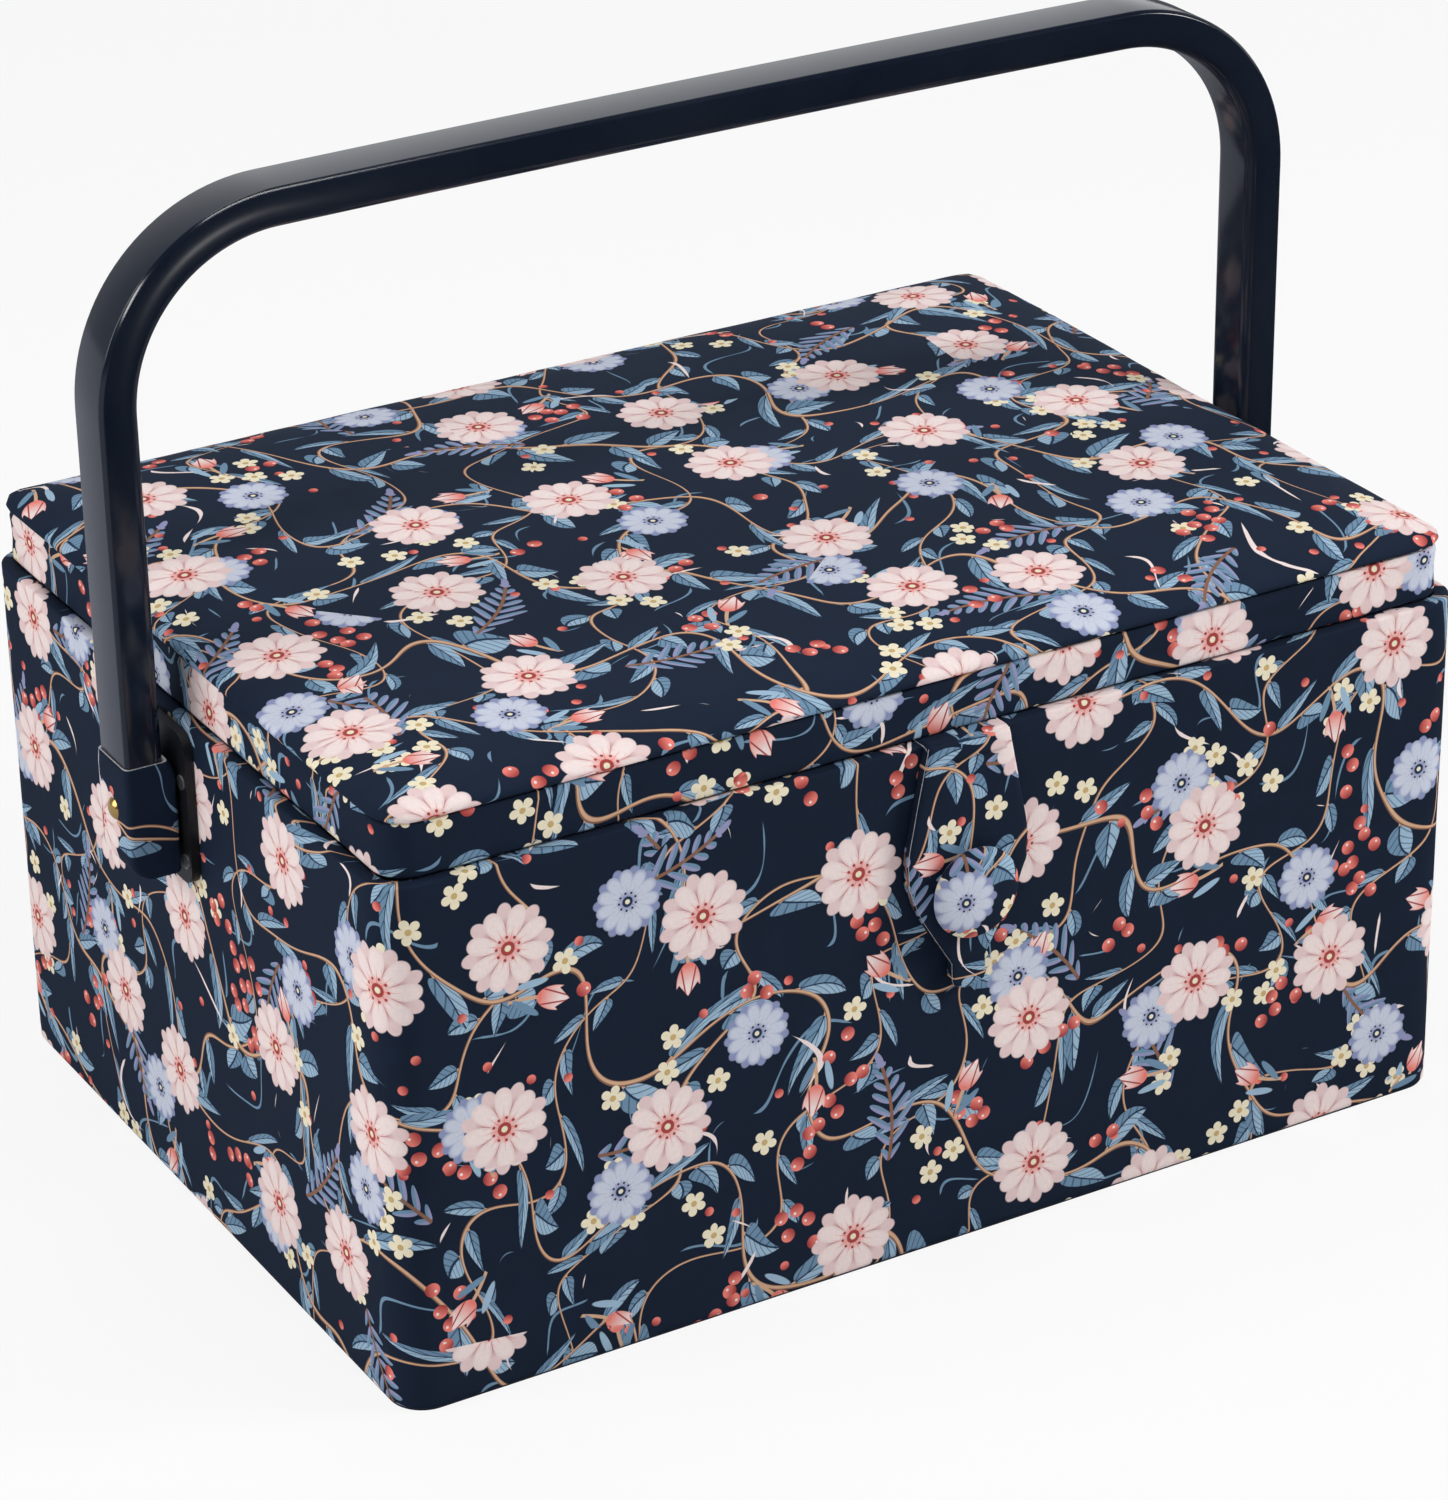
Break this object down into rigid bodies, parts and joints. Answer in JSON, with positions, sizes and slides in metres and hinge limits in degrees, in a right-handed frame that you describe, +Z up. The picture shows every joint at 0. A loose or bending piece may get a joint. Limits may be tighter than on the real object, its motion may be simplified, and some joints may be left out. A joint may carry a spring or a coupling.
{
  "type": "sewing box",
  "caption": "Fabric-covered sewing box with a padded hinged lid, a magnetic closing tab, a swinging bail handle and a lift-out tray.",
  "frame": {"origin": "centre of the flat underside that the box stands on", "axes": "+X along the box's length, to the right seen from the front; +Y from front to back; +Z up"},
  "size_m": [0.3576, 0.2443, 0.2867],
  "materials": {
    "print_cloth": "matt printed cotton",
    "base_cloth": "matt plain cloth",
    "board": "greyboard",
    "lining_cloth": "matt cotton",
    "elastic": "matt",
    "padding": "wadding",
    "pincushion_cloth": "short pile",
    "tray_plastic": "fine texture",
    "handle_plastic": "satin",
    "brass": "polished",
    "bracket_metal": "satin black",
    "steel": "bright"
  },
  "bodies": {
    "box": {"base_cover": "base_cloth", "base_board": "board", "wall_front": "board", "wall_back": "board", "wall_left": "board", "wall_right": "board", "corner_front_left": "board", "corner_front_right": "board", "corner_back_left": "board", "corner_back_right": "board", "side_cover": "print_cloth", "lining_walls": "lining_cloth", "lining_base": "lining_cloth", "tray_support_left": "board", "tray_support_right": "board", "front_magnet": "steel", "pivot_bracket_left": "bracket_metal", "pivot_bracket_right": "bracket_metal", "bracket_rivets": "steel", "pivot_rivet_left": "brass", "pivot_rivet_right": "brass", "pivot_washers": "steel", "hinge_strip": "print_cloth"},
    "tray": {"tray": "tray_plastic"},
    "handle": {"handle": "handle_plastic", "sleeve_left": "print_cloth", "sleeve_right": "print_cloth"},
    "lid": {"lid_board": "board", "lid_rim_front": "board", "lid_rim_back": "board", "lid_rim_left": "board", "lid_rim_right": "board", "lid_corner_front_left": "board", "lid_corner_front_right": "board", "lid_corner_back_left": "board", "lid_corner_back_right": "board", "lid_padding": "padding", "lid_top_cover": "print_cloth", "lid_band_cover": "print_cloth", "lid_lining": "lining_cloth", "lid_pocket": "lining_cloth", "pocket_elastic": "elastic", "pincushion": "pincushion_cloth", "tab_tape": "print_cloth"},
    "tab": {"tab_back_cloth": "print_cloth", "tab_interlining": "padding", "tab_front_cloth": "print_cloth", "tab_magnet": "steel", "button_back": "steel", "button_shell": "steel", "button_cloth": "print_cloth"}
  },
  "joints": [
    {"name": "lid_open", "type": "hinge", "parent": "box", "child": "lid", "pos_m": [0, 0.1174, 0.14715], "axis": [-1, 0, 0], "range_deg": [0, 95], "deforming": ["hinge_strip"]},
    {"name": "handle_swing", "type": "hinge", "parent": "box", "child": "handle", "pos_m": [0, 0, 0.1247], "axis": [-1, 0, 0], "range_deg": [-118, 118]},
    {"name": "tray_lift", "type": "slide", "parent": "box", "child": "tray", "axis": [0, 0, 1], "range_m": [0, 0.035]},
    {"name": "tab_lift", "type": "hinge", "parent": "lid", "child": "tab", "pos_m": [0.003, -0.1189, 0.1472], "axis": [-1, 0, 0], "range_deg": [0, 100]}
  ],
  "couplings": [
    {"joint": "handle_swing", "follows": "lid_open", "ratio": 1.24},
    {"joint": "tray_lift", "follows": "lid_open", "m_per_rad": 0.021}
  ]
}
